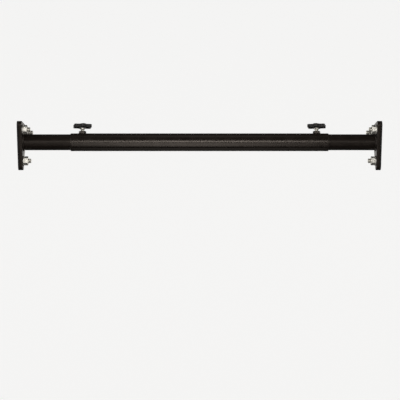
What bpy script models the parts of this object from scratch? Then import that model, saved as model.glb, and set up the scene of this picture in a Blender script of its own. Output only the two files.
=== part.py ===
"""Telescopic doorway pull up bar: a grip tube, two sliding arms with wall flanges, and two star knob locks.

Metres, +Z up. X runs along the bar, -Y is the front. The origin is the middle of the span, on the tubes' axis.
The arms are drawn as far out as in use, and the locks are tight. Everything on one side is placed as on the
right (+X) side and hangs from an empty, which is turned half round for the left side.
"""

from math import atan2, cos, pi, radians, sin, sqrt

import bmesh
import bpy
from mathutils import Matrix

GAP = 0.0003  # between pieces that touch
ROUND_STEPS = 48  # round tubes
SMALL_STEPS = 20  # fasteners
FACE_SHARE = 0.95  # a nut's round face over its width across flats

# Tubes, centred on the X axis
GRIP_LENGTH = 0.550
GRIP_RADIUS = 0.019
GRIP_WALL = 0.0018
ARM_RADIUS = 0.017
ARM_WALL = 0.0015
ARM_LENGTH = 0.280
TUBE_CHAMFER = 0.0006

# Wall flange: a rubber pad against the wall, then the steel plate that the arm is welded to
SPAN = 0.772
PAD_THICKNESS = 0.003
PLATE_THICKNESS = 0.007
PLATE_CORNERS = ((-0.030, 0.032, 0.009), (0.030, 0.032, 0.009), (0.0, -0.050, 0.010))  # y, z, corner radius
PLATE_EDGE = 0.0008
OUTLINE_STEPS = 48
FLANGE_WELD_LEG = 0.0035

# Anchors: M10 studs with washers and nuts
ANCHORS = {"top_front": (-0.022, 0.024), "top_rear": (0.022, 0.024), "bottom": (0.0, -0.040)}  # y, z
STUD_RADIUS = 0.005
STUD_TIP = 0.0059
BOLT_HOLE_RADIUS = 0.0055
WASHER_RADIUS = 0.0105
WASHER_THICKNESS = 0.002
NUT_ACROSS_FLATS = 0.017
NUT_HEIGHT = 0.008

# Glide plug in the inner end of each arm
PLUG_FLANGE = 0.004
PLUG_STEM = 0.014

# Lock: a nut welded over a hole in the grip tube, and an M8 screw in a star knob
LOCK_X = 0.2503
WELD_NUT_ACROSS_FLATS = 0.014
WELD_NUT_TOP = 0.024
WELD_NUT_HIDDEN = 0.0085  # height cut away where the nut saddles the tube
NUT_BEAD_RADIUS = 0.0102
NUT_BEAD_THICKNESS = 0.002
SCREW_RADIUS = 0.004
SCREW_HOLE_RADIUS = 0.0043
SCREW_TIP = 0.0196
SCREW_HEAD_BASE = 0.0332
SCREW_HEAD_HEIGHT = 0.0053
SCREW_HEAD_ACROSS_FLATS = 0.013
CLAMP_PAD_BASE = 0.0173
CLAMP_PAD_TOP = 0.0193
CLAMP_PAD_RADIUS = 0.0034
SPIGOT_RADIUS = 0.0015
SPIGOT_HEIGHT = 0.002
BUSH_BASE = 0.028
BUSH_TOP = 0.031
BUSH_RADIUS = 0.0055

# Star knob
KNOB_BASE = 0.0313
KNOB_TOP = 0.0383
KNOB_LOBES = 6
LOBE_RING_RADIUS = 0.016
LOBE_RADIUS = 0.005
VALLEY_RADIUS = 0.006
KNOB_EDGE = 0.0012
HUB_RADIUS = 0.0105
HUB_TOP = 0.0398
CAP_RADIUS = 0.0086
CAP_BASE = 0.0391
CAP_TOP = 0.0403
LOBE_STEPS = 8
VALLEY_STEPS = 4
KNOB_TURN = radians(18.5)  # how far the lobes stand round from the bar, mirrored on the left

WALL_X = SPAN / 2
PLATE_OUTER_X = WALL_X - PAD_THICKNESS - GAP
PLATE_INNER_X = PLATE_OUTER_X - PLATE_THICKNESS
ARM_OUTER_X = PLATE_INNER_X - GAP
ARM_INNER_X = ARM_OUTER_X - ARM_LENGTH
WASHER_X = PLATE_INNER_X - GAP
NUT_X = WASHER_X - WASHER_THICKNESS - GAP
STUD_TIP_X = NUT_X - NUT_HEIGHT - STUD_TIP

ALONG_X = (0.0, pi / 2, 0.0)
ACROSS_X = (pi / 2, 0.0, pi / 2)

# Finishes: colour, roughness, metallic
BLACK_PAINT = ((0.022, 0.018, 0.016), 0.42, 0.0)
ZINC = ((0.78, 0.77, 0.72), 0.28, 1.0)
BLACK_PLASTIC = ((0.018, 0.018, 0.018), 0.50, 0.0)
BLACK_RUBBER = ((0.012, 0.012, 0.012), 0.85, 0.0)
GREY_NYLON = ((0.55, 0.55, 0.52), 0.55, 0.0)
BRASS = ((0.72, 0.52, 0.22), 0.35, 1.0)


def clear_scene():
    """Removes every object, so that the script can run again in an open file."""
    for obj in list(bpy.data.objects):
        bpy.data.objects.remove(obj)


def new_collection(name):
    """A collection linked to the scene."""
    made = bpy.data.collections.new(name)
    bpy.context.scene.collection.children.link(made)
    return made


def new_object(name, data, collection):
    """An object of its own in the given collection."""
    obj = bpy.data.objects.new(name, data)
    collection.objects.link(obj)
    return obj


def place(obj, parent, location=(0.0, 0.0, 0.0), rotation=(0.0, 0.0, 0.0)):
    """Parents an object and sets its place in the parent's frame."""
    obj.parent = parent
    obj.location = location
    obj.rotation_euler = rotation


def finish(obj, look):
    """Gives an object a material of its own with a Principled shader."""
    colour, roughness, metallic = look
    made = bpy.data.materials.new(obj.name)
    made.use_nodes = True
    shader = made.node_tree.nodes["Principled BSDF"]
    shader.inputs["Base Color"].default_value = (*colour, 1.0)
    shader.inputs["Roughness"].default_value = roughness
    shader.inputs["Metallic"].default_value = metallic
    made.diffuse_color = (*colour, 1.0)
    obj.data.materials.append(made)


def turned(name, profile, steps, collection, closed=False):
    """A shape turned about Z from (radius, height) points that run down its outer side."""
    mesh = bpy.data.meshes.new(name)
    points = [(radius, 0.0, height) for radius, height in profile]
    edges = [(i, i + 1) for i in range(len(points) - 1)]
    if closed:
        edges.append((len(points) - 1, 0))
    mesh.from_pydata(points, edges, [])
    obj = new_object(name, mesh, collection)
    screw = obj.modifiers.new("Turn", "SCREW")
    screw.steps = steps
    screw.render_steps = steps
    screw.use_merge_vertices = True
    screw.merge_threshold = 0.00001
    screw.use_smooth_shade = True
    return obj


def ring(name, outer, inner, bottom, top, chamfer, steps):
    """A tube, washer or collar about Z with chamfered outer edges."""
    profile = (
        (outer - chamfer, top),
        (outer, top - chamfer),
        (outer, bottom + chamfer),
        (outer - chamfer, bottom),
        (inner, bottom),
        (inner, top),
    )
    return turned(name, profile, steps, parts, closed=True)


def rod(name, radius, bottom, top, chamfer):
    """A round rod about Z with chamfered ends."""
    profile = (
        (0.0, top),
        (radius - chamfer, top),
        (radius, top - chamfer),
        (radius, bottom + chamfer),
        (radius - chamfer, bottom),
        (0.0, bottom),
    )
    return turned(name, profile, SMALL_STEPS, parts)


def prism(name, across_flats, bottom, top, collection):
    """A hexagonal prism about Z with two flats facing along Y."""
    shape = bmesh.new()
    corner = across_flats / 2 / cos(pi / 6)
    bmesh.ops.create_cone(
        shape, cap_ends=True, segments=6, radius1=corner, radius2=corner, depth=top - bottom
    )
    bmesh.ops.translate(shape, verts=shape.verts, vec=(0.0, 0.0, (top + bottom) / 2))
    bmesh.ops.rotate(shape, verts=shape.verts, matrix=Matrix.Rotation(pi / 6, 3, "Z"))
    mesh = bpy.data.meshes.new(name)
    shape.to_mesh(mesh)
    shape.free()
    return new_object(name, mesh, collection)


def rod_cutter(name, radius, bottom, top, steps=SMALL_STEPS):
    """A plain cylinder about Z to cut with."""
    profile = ((0.0, top), (radius, top), (radius, bottom), (0.0, bottom))
    return turned(name, profile, steps, cutters)


def shape_with(obj, tool, operation="DIFFERENCE", location=(0.0, 0.0, 0.0), rotation=(0.0, 0.0, 0.0)):
    """Places a hidden tool in the object's parent's frame, and cuts, joins or intersects the object with it."""
    tool.hide_render = True
    tool.display_type = "WIRE"
    place(tool, obj.parent, location, rotation)
    step = obj.modifiers.new(operation.title(), "BOOLEAN")
    step.operation = operation
    step.solver = "EXACT"
    step.object = tool


def nut(name, across_flats, bottom, top, parent, location, rotation=(0.0, 0.0, 0.0)):
    """A placed hexagon about its own Z, with the corners of both faces turned down at 30 degrees."""
    obj = prism(name, across_flats, bottom, top, parts)
    place(obj, parent, location, rotation)
    face = across_flats * FACE_SHARE / 2
    corner = across_flats / 2 / cos(pi / 6) + GAP
    drop = (corner - face) * sin(pi / 6) / cos(pi / 6)
    profile = (
        (0.0, top),
        (face, top),
        (corner, top - drop),
        (corner, bottom + drop),
        (face, bottom),
        (0.0, bottom),
    )
    blank = turned(name + "_corners", profile, SMALL_STEPS, cutters)
    shape_with(obj, blank, "INTERSECT", location, rotation)
    return obj


def plate(name, outline, thickness, edge):
    """A flat plate about Z from its outline in X and Y, with rounded edges."""
    curve = bpy.data.curves.new(name, "CURVE")
    curve.dimensions = "2D"
    curve.fill_mode = "BOTH"
    curve.extrude = thickness / 2
    spline = curve.splines.new("POLY")
    spline.points.add(len(outline) - 1)
    for point, (x, y) in zip(spline.points, outline):
        point.co = (x, y, 0.0, 1.0)
    spline.use_cyclic_u = True
    flat = new_object(name + "_outline", curve, parts)
    graph = bpy.context.evaluated_depsgraph_get()
    mesh = bpy.data.meshes.new_from_object(flat.evaluated_get(graph))
    mesh.name = name
    bpy.data.objects.remove(flat)
    shape = bmesh.new()
    shape.from_mesh(mesh)
    bmesh.ops.remove_doubles(shape, verts=shape.verts, dist=0.00001)
    bmesh.ops.dissolve_limit(shape, angle_limit=radians(1), verts=shape.verts, edges=shape.edges)
    shape.to_mesh(mesh)
    shape.free()
    obj = new_object(name, mesh, parts)
    bevel = obj.modifiers.new("Edges", "BEVEL")
    bevel.width = edge
    bevel.segments = 1
    bevel.limit_method = "ANGLE"
    bevel.angle_limit = radians(60)
    return obj


def plate_outline():
    """The flange's outline round its corner circles: in each direction, the point that lies farthest out."""
    points = []
    for i in range(OUTLINE_STEPS):
        angle = 2 * pi * i / OUTLINE_STEPS
        reach = [y * cos(angle) + z * sin(angle) + radius for y, z, radius in PLATE_CORNERS]
        y, z, radius = PLATE_CORNERS[reach.index(max(reach))]
        points.append((y + radius * cos(angle), z + radius * sin(angle)))
    return points


def arc(ring_radius, at, radius, start, end, steps):
    """Points along an arc whose centre stands on a ring about the origin."""
    points = []
    for i in range(steps + 1):
        angle = start + (end - start) * i / steps
        x = ring_radius * cos(at) + radius * cos(angle)
        y = ring_radius * sin(at) + radius * sin(angle)
        points.append((x, y))
    return points


def knob_outline():
    """The star: an arc round each lobe, and between lobes an arc that touches both and dips inwards."""
    half = pi / KNOB_LOBES
    across = LOBE_RING_RADIUS * sin(half)
    rise = sqrt((LOBE_RADIUS + VALLEY_RADIUS) ** 2 - across**2)
    valley_ring_radius = LOBE_RING_RADIUS * cos(half) + rise
    lean = atan2(across, rise)
    points = []
    for lobe in range(KNOB_LOBES):
        out = 2 * half * lobe
        dip = out + half
        points += arc(LOBE_RING_RADIUS, out, LOBE_RADIUS, out - half - lean, out + half + lean, LOBE_STEPS)
        valley = arc(valley_ring_radius, dip, VALLEY_RADIUS, dip + pi + lean, dip + pi - lean, VALLEY_STEPS)
        points += valley[1:-1]
    return points


def build_grip():
    """The grip tube with a hole for each lock screw in its top."""
    half = GRIP_LENGTH / 2
    tube = ring("grip_tube", GRIP_RADIUS, GRIP_RADIUS - GRIP_WALL, -half, half, TUBE_CHAMFER, ROUND_STEPS)
    place(tube, None, rotation=ALONG_X)
    for side, x in (("right", LOCK_X), ("left", -LOCK_X)):
        hole = rod_cutter(side + "_screw_hole", SCREW_HOLE_RADIUS, 0.0, GRIP_RADIUS * 2)
        shape_with(tube, hole, location=(x, 0.0, 0.0))
    finish(tube, BLACK_PAINT)


def build_arm(side, frame):
    """One arm: its tube, the glide plug in its inner end, and the weld that holds it to the flange."""
    tube = ring(side + "_arm_tube", ARM_RADIUS, ARM_RADIUS - ARM_WALL, 0.0, ARM_LENGTH, TUBE_CHAMFER, ROUND_STEPS)
    place(tube, frame, (ARM_INNER_X, 0.0, 0.0), ALONG_X)
    finish(tube, BLACK_PAINT)
    stem = ARM_RADIUS - ARM_WALL - GAP
    profile = (
        (0.0, PLUG_STEM),
        (stem - TUBE_CHAMFER, PLUG_STEM),
        (stem, PLUG_STEM - TUBE_CHAMFER),
        (stem, -GAP),
        (ARM_RADIUS, -GAP),
        (ARM_RADIUS, -PLUG_FLANGE),
        (0.0, -PLUG_FLANGE),
    )
    plug = turned(side + "_glide_plug", profile, ROUND_STEPS, parts)
    place(plug, frame, (ARM_INNER_X, 0.0, 0.0), ALONG_X)
    finish(plug, GREY_NYLON)
    profile = (
        (ARM_RADIUS + FLANGE_WELD_LEG, 0.0),
        (ARM_RADIUS + 2 * GAP, -FLANGE_WELD_LEG),
        (ARM_RADIUS + GAP, -FLANGE_WELD_LEG),
        (ARM_RADIUS + GAP, 0.0),
    )
    weld = turned(side + "_flange_weld", profile, ROUND_STEPS, parts, closed=True)
    place(weld, frame, (ARM_OUTER_X, 0.0, 0.0), ALONG_X)
    finish(weld, BLACK_PAINT)


def build_flange(side, frame):
    """One wall flange: the steel plate and the rubber pad behind it, with three bolt holes each."""
    outline = plate_outline()
    layers = (
        ("flange_plate", PLATE_INNER_X, PLATE_OUTER_X, PLATE_EDGE, BLACK_PAINT),
        ("wall_pad", WALL_X - PAD_THICKNESS, WALL_X, PLATE_EDGE / 2, BLACK_RUBBER),
    )
    for name, inner_x, outer_x, edge, look in layers:
        layer = plate(f"{side}_{name}", outline, outer_x - inner_x, edge)
        place(layer, frame, ((inner_x + outer_x) / 2, 0.0, 0.0), ACROSS_X)
        for corner, (y, z) in ANCHORS.items():
            hole = rod_cutter(f"{layer.name}_{corner}_hole", BOLT_HOLE_RADIUS, -PLATE_THICKNESS, PLATE_THICKNESS)
            shape_with(layer, hole, location=((inner_x + outer_x) / 2, y, z), rotation=ALONG_X)
        finish(layer, look)


def build_anchors(side, frame):
    """The three wall anchors of one flange, each a stud with its washer and nut."""
    for corner, (y, z) in ANCHORS.items():
        if side == "left":
            y = -y
        stud = rod(f"{side}_{corner}_stud", STUD_RADIUS, STUD_TIP_X, WALL_X, TUBE_CHAMFER)
        place(stud, frame, (0.0, y, z), ALONG_X)
        finish(stud, ZINC)
        washer = ring(
            f"{side}_{corner}_washer",
            WASHER_RADIUS,
            STUD_RADIUS + GAP,
            WASHER_X - WASHER_THICKNESS,
            WASHER_X,
            GAP,
            SMALL_STEPS,
        )
        place(washer, frame, (0.0, y, z), ALONG_X)
        finish(washer, ZINC)
        hexagon = nut(
            f"{side}_{corner}_nut", NUT_ACROSS_FLATS, NUT_X - NUT_HEIGHT, NUT_X, frame, (0.0, y, z), ALONG_X
        )
        thread = rod_cutter(hexagon.name + "_thread", STUD_RADIUS + GAP, STUD_TIP_X, WALL_X)
        shape_with(hexagon, thread, location=(0.0, y, z), rotation=ALONG_X)
        finish(hexagon, ZINC)


def build_weld_nut(side, frame):
    """The threaded nut on the grip tube and the weld bead round its foot, both cut to sit on the tube."""
    at = (LOCK_X, 0.0, 0.0)
    threaded = nut(
        side + "_weld_nut", WELD_NUT_ACROSS_FLATS, WELD_NUT_TOP - WELD_NUT_HIDDEN, WELD_NUT_TOP, frame, at
    )
    bead = turned(
        side + "_weld_nut_bead",
        ((0.0, WELD_NUT_TOP), (NUT_BEAD_RADIUS, WELD_NUT_TOP), (NUT_BEAD_RADIUS, GAP), (0.0, GAP)),
        SMALL_STEPS,
        parts,
    )
    place(bead, frame, at)
    reach = 2 * NUT_BEAD_RADIUS
    over = rod_cutter(bead.name + "_top", GRIP_RADIUS + NUT_BEAD_THICKNESS, -reach, reach, ROUND_STEPS)
    shape_with(bead, over, "INTERSECT", at, ALONG_X)
    hexagon = prism(bead.name + "_nut", WELD_NUT_ACROSS_FLATS + 2 * GAP, 0.0, 2 * WELD_NUT_TOP, cutters)
    shape_with(bead, hexagon, location=at)
    bore = rod_cutter(threaded.name + "_bore", SCREW_HOLE_RADIUS, 0.0, 2 * WELD_NUT_TOP)
    shape_with(threaded, bore, location=at)
    for piece in (threaded, bead):
        saddle = rod_cutter(piece.name + "_saddle", GRIP_RADIUS + GAP, -reach, reach, ROUND_STEPS)
        shape_with(piece, saddle, location=at, rotation=ALONG_X)
        finish(piece, BLACK_PAINT)


def build_lock(side, frame):
    """The lock that turns in the weld nut: clamp pad, screw, bush, star knob and cap."""
    at = (LOCK_X, 0.0, 0.0)
    profile = (
        (0.0, CLAMP_PAD_TOP + SPIGOT_HEIGHT),
        (SPIGOT_RADIUS, CLAMP_PAD_TOP + SPIGOT_HEIGHT),
        (SPIGOT_RADIUS, CLAMP_PAD_TOP),
        (CLAMP_PAD_RADIUS, CLAMP_PAD_TOP),
        (CLAMP_PAD_RADIUS, CLAMP_PAD_BASE),
        (0.0, CLAMP_PAD_BASE),
    )
    pad = turned(side + "_clamp_pad", profile, SMALL_STEPS, parts)
    place(pad, frame, at)
    finish(pad, BRASS)

    turn = KNOB_TURN if side == "right" else -KNOB_TURN
    knob_frame = new_object(side + "_knob_axis", None, parts)
    place(knob_frame, frame, at, (0.0, 0.0, turn))
    screw = rod(side + "_lock_screw", SCREW_RADIUS, SCREW_TIP, SCREW_HEAD_BASE + SCREW_RADIUS, TUBE_CHAMFER)
    place(screw, knob_frame)
    head_top = SCREW_HEAD_BASE + SCREW_HEAD_HEIGHT
    head = prism(screw.name + "_head", SCREW_HEAD_ACROSS_FLATS, SCREW_HEAD_BASE, head_top, cutters)
    shape_with(screw, head, "UNION")
    socket_top = CLAMP_PAD_TOP + SPIGOT_HEIGHT + 2 * GAP
    socket = rod_cutter(screw.name + "_socket", SPIGOT_RADIUS + GAP, CLAMP_PAD_BASE, socket_top)
    shape_with(screw, socket)
    finish(screw, ZINC)

    bush = ring(side + "_knob_bush", BUSH_RADIUS, SCREW_HOLE_RADIUS, BUSH_BASE, BUSH_TOP, GAP, SMALL_STEPS)
    place(bush, knob_frame)
    finish(bush, ZINC)

    knob = plate(side + "_star_knob", knob_outline(), KNOB_TOP - KNOB_BASE, KNOB_EDGE)
    place(knob, knob_frame)
    knob.data.transform(Matrix.Translation((0.0, 0.0, (KNOB_TOP + KNOB_BASE) / 2)))
    hub = rod_cutter(knob.name + "_hub", HUB_RADIUS, (KNOB_TOP + KNOB_BASE) / 2, HUB_TOP, ROUND_STEPS // 2)
    shape_with(knob, hub, "UNION")
    recess = rod_cutter(knob.name + "_recess", CAP_RADIUS + GAP, CAP_BASE - GAP, 2 * HUB_TOP, ROUND_STEPS // 2)
    shape_with(knob, recess)
    pocket_base = SCREW_HEAD_BASE - GAP
    pocket = prism(knob.name + "_pocket", SCREW_HEAD_ACROSS_FLATS + 2 * GAP, pocket_base, 2 * HUB_TOP, cutters)
    shape_with(knob, pocket)
    hole = rod_cutter(knob.name + "_hole", SCREW_HOLE_RADIUS, 0.0, 2 * HUB_TOP)
    shape_with(knob, hole)
    finish(knob, BLACK_PLASTIC)

    dome = (CAP_TOP - CAP_BASE) / 2
    profile = (
        (0.0, CAP_TOP),
        (CAP_RADIUS / 2, CAP_TOP - dome / 4),
        (CAP_RADIUS, CAP_TOP - dome),
        (CAP_RADIUS, CAP_BASE),
        (0.0, CAP_BASE),
    )
    cap = turned(side + "_knob_cap", profile, ROUND_STEPS // 2, parts)
    place(cap, knob_frame)
    finish(cap, BLACK_PLASTIC)


clear_scene()
parts = new_collection("pull_up_bar")
cutters = new_collection("cutters")
build_grip()
for side_name, side_turn in (("right", 0.0), ("left", pi)):
    side_frame = new_object(side_name + "_side", None, parts)
    place(side_frame, None, rotation=(0.0, 0.0, side_turn))
    build_weld_nut(side_name, side_frame)
    build_lock(side_name, side_frame)
    build_arm(side_name, side_frame)
    build_flange(side_name, side_frame)
    build_anchors(side_name, side_frame)
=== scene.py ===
"""Looks for a telescopic doorway pull up bar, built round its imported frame.

Every visible piece is a surface worked out with numpy from named sizes, and it rides on the body of the node
that it stands for. Lengths are in metres, +X runs along the bar, -Y is the front and +Z is up.
"""
import logging
from abc import ABC, abstractmethod
from collections.abc import Sequence
from dataclasses import dataclass, field
from enum import Enum
from math import atan2, cos, pi, radians, sin, sqrt

import bmesh
import bpy
import numpy as np
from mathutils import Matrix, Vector
from mathutils.geometry import delaunay_2d_cdt


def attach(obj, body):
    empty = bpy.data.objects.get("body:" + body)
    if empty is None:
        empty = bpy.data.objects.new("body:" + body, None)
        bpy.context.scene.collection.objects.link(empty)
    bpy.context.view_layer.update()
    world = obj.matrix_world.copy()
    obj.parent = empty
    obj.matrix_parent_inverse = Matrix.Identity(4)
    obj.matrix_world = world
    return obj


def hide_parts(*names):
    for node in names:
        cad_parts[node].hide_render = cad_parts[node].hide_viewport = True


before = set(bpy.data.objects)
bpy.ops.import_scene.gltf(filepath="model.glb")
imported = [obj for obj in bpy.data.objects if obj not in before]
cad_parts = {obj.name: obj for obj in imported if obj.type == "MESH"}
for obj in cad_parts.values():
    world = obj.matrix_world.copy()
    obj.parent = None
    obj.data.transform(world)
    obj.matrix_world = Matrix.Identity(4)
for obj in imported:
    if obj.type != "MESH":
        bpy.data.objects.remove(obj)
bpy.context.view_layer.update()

LOG = logging.getLogger("pull_up_bar")

Array = np.ndarray
Node = bpy.types.Node
Socket = bpy.types.NodeSocket
Tree = bpy.types.NodeTree
Colour = tuple[float, float, float, float]

MM = 0.001
WELD_DISTANCE = 0.0005 * MM
SHARP_ANGLE = radians(32)
GAP = 0.3 * MM
HEX_CORNER = 1 / cos(pi / 6)
# A nut's corners against a sharp hexagon's, its turned face against its half width, and its cone's slope.
NUT_CORNER_CUT = 0.985
NUT_FACE = 0.955
NUT_CONE_SLOPE = 0.577
FLAT_POINTS = 12
HOLE_POINTS = 48
BAND_STEPS = 1441
# The fill that keeps all inside the outer loop, with the extra edges that a mesh needs.
FILL_MODE = 4


class Side(Enum):
    """An end of the bar, with the sign of its X."""

    LEFT = -1
    RIGHT = 1


class Slot(Enum):
    """The record's material slots."""

    COAT = "black_powder_coat"
    ZINC = "zinc_plate"
    PLASTIC = "knob_plastic"
    RUBBER = "pad_rubber"
    NYLON = "grey_nylon"
    BRASS = "brass"


# Surfaces


@dataclass
class Surface:
    """Points and the faces between them, before they become a mesh.

    Wear is a number for each point, from 0 on open faces to 1 on edges that rub.
    """

    points: Array
    faces: list[list[int]]
    wear: Array

    @classmethod
    def grid(cls, points: Array, wear: Array | float = 0.0, loop_rows: bool = False) -> "Surface":
        """Quads between the neighbours of a grid of points, whose last column joins the first.

        Args:
            points: Array of rows x columns x 3.
            wear: One number, or an array that broadcasts to rows x columns.
            loop_rows: Whether the last row joins the first.

        Returns:
            The surface.
        """
        rows, columns = points.shape[:2]
        index = np.arange(rows * columns).reshape(rows, columns)
        if loop_rows:
            index = np.vstack((index, index[:1]))
        index = np.hstack((index, index[:, :1]))
        quads = np.stack((index[:-1, :-1], index[:-1, 1:], index[1:, 1:], index[1:, :-1]), axis=-1)
        worn = np.broadcast_to(np.asarray(wear, float), (rows, columns)).ravel()
        return cls(points.reshape(-1, 3), quads.reshape(-1, 4).tolist(), worn)

    @classmethod
    def joined(cls, pieces: Sequence["Surface"]) -> "Surface":
        """Several surfaces as one, with their faces renumbered.

        Args:
            pieces: The surfaces.

        Returns:
            One surface.
        """
        starts = np.cumsum([0] + [len(piece.points) for piece in pieces])
        faces = []
        for piece, start in zip(pieces, starts):
            faces += [[corner + int(start) for corner in face] for face in piece.faces]
        points = np.vstack([piece.points for piece in pieces])
        return cls(points, faces, np.concatenate([piece.wear for piece in pieces]))

    def moved(self, offset: Sequence[float]) -> "Surface":
        """The surface shifted by an offset."""
        return Surface(self.points + np.asarray(offset, float), self.faces, self.wear)

    def turned(self, angle: float) -> "Surface":
        """The surface turned about Z by an angle in radians."""
        turn = np.array([[cos(angle), sin(angle), 0.0], [-sin(angle), cos(angle), 0.0], [0.0, 0.0, 1.0]])
        return Surface(self.points @ turn, self.faces, self.wear)

    def along_x(self) -> "Surface":
        """The surface with its Z laid along X, its X along Y and its Y along Z."""
        return Surface(self.points[:, [2, 0, 1]], self.faces, self.wear)

    def on_side(self, side: Side) -> "Surface":
        """The surface as it is on the right, or turned half round about Z for the left."""
        return self if side is Side.RIGHT else self.turned(pi)


def ways(angle: Array) -> Array:
    """The unit vector (cos a, sin a) at each angle a."""
    return np.stack((np.cos(angle), np.sin(angle)), axis=-1)


def polar(radius: Array | float, angle: Array, height: Array | float) -> Array:
    """The points (radius cos a, radius sin a, height) at each angle a."""
    spread = np.broadcast_arrays(radius * np.cos(angle), radius * np.sin(angle), height)
    return np.stack(spread, axis=-1)


def softened(corners: Sequence[tuple[float, float, float]], steps: int = 5) -> Array:
    """A profile with rounded corners.

    Each corner C between neighbours P and N becomes a curve from A, a given length from C towards P, to B,
    the same length towards N. A point at u from 0 to 1 is (1 - u)^2 A + 2 u (1 - u) C + u^2 B.

    Args:
        corners: Radius, height and cut-back length of each corner of a closed profile.
        steps: Points on each corner.

    Returns:
        Array of points x 2. A corner with no length keeps its points on one spot.
    """
    table = np.array(corners, float)
    spot, cut = table[:, :2], table[:, 2:3]
    before = np.roll(spot, 1, axis=0) - spot
    after = np.roll(spot, -1, axis=0) - spot
    start = spot + before / np.maximum(np.linalg.norm(before, axis=1, keepdims=True), 1e-9) * cut
    end = spot + after / np.maximum(np.linalg.norm(after, axis=1, keepdims=True), 1e-9) * cut
    u = np.linspace(0.0, 1.0, steps)[None, :, None]
    curve = (1 - u) ** 2 * start[:, None] + 2 * u * (1 - u) * spot[:, None] + u**2 * end[:, None]
    return curve.reshape(-1, 2)


def divided(profile: Array, longest: float) -> Array:
    """A closed profile with points added on its long stretches, each stretch split evenly.

    Args:
        profile: Array of points x 2.
        longest: The most length between two points.

    Returns:
        Array of points x 2.
    """
    ring = np.vstack((profile, profile[:1]))
    length = np.linalg.norm(np.diff(ring, axis=0), axis=1)
    kept = np.concatenate(([True], length > 1e-9))
    ring, length = ring[kept], length[length > 1e-9]
    along = np.concatenate(([0.0], np.cumsum(length)))
    parts = np.ceil(length / longest).astype(int)
    stretches = zip(along[:-1], along[1:], parts)
    at = np.concatenate([np.linspace(start, end, count, endpoint=False) for start, end, count in stretches])
    return np.stack((np.interp(at, along, ring[:, 0]), np.interp(at, along, ring[:, 1])), axis=1)


def turning(profile: Array, segments: int, wear: Array | float = 0.0, closed: bool = True) -> Surface:
    """A profile carried round Z: (radius cos a, radius sin a, height) at each angle a.

    Args:
        profile: Array of points x 2, radius and height.
        segments: Steps round the turn.
        wear: One number, or one for each profile point.
        closed: Whether the profile is a loop. An open one starts and ends on the axis.

    Returns:
        The surface.
    """
    angle = np.arange(segments) * 2 * pi / segments
    worn = np.broadcast_to(np.asarray(wear, float), (len(profile),))[:, None]
    return Surface.grid(polar(profile[:, :1], angle, profile[:, 1:]), worn + 0 * angle, loop_rows=closed)


def near(values: Array, edges: Sequence[float], reach: float) -> Array:
    """How close each value is to the nearest edge: 1 on it, falling evenly to 0 at a distance of reach."""
    distance = np.min(np.abs(values[..., None] - np.asarray(edges, float)), axis=-1)
    return np.clip(1 - distance / reach, 0.0, 1.0)


def hexagon_radius(angle: Array, across_flats: float) -> Array:
    """A hexagon's radius at an angle: its half width over the cosine from the nearest flat's middle."""
    return across_flats / 2 / np.cos((angle + pi / 6) % (pi / 3) - pi / 6)


@dataclass(frozen=True)
class Thread:
    """A metric screw thread."""

    radius: float
    pitch: float
    rows_per_turn: int = 10

    @property
    def depth(self) -> float:
        """How deep the groove is cut, for a 60 degree thread."""
        return 0.6 * self.pitch

    def rod(
        self, bottom: float, top: float, bottom_chamfer: float, top_chamfer: float, segments: int = 40
    ) -> Surface:
        """A threaded rod about Z, closed at both ends.

        At height z and angle a, the place across the thread is the fraction of z / pitch - a / turn. The
        radius there is the outer radius less a groove with flat crest, sloping flanks and flat root, and
        never more than the 45 degree chamfer at either end allows.

        Args:
            bottom: Height of the lower end.
            top: Height of the upper end.
            bottom_chamfer: Width of the lower chamfer.
            top_chamfer: Width of the upper chamfer.
            segments: Steps round the rod.

        Returns:
            The surface.
        """
        rows = int((top - bottom) / self.pitch * self.rows_per_turn) + 1
        height = np.linspace(bottom, top, rows)[:, None]
        angle = np.arange(segments)[None, :] * 2 * pi / segments
        across = np.abs((height / self.pitch - angle / (2 * pi)) % 1.0 - 0.5) * 2
        groove = np.clip((across - 0.2) / 0.6, 0.0, 1.0)
        radius = self.radius - self.depth * groove
        radius = np.minimum(radius, self.radius - bottom_chamfer + (height - bottom))
        radius = np.minimum(radius, self.radius - top_chamfer + (top - height))
        points = polar(radius, angle, height)
        ends = [np.broadcast_to((0.0, 0.0, z), (1, segments, 3)) for z in (bottom, top)]
        wear = np.pad(1 - groove, ((1, 1), (0, 0)))
        return Surface.grid(np.vstack((ends[0], points, ends[1])), wear)


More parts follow.
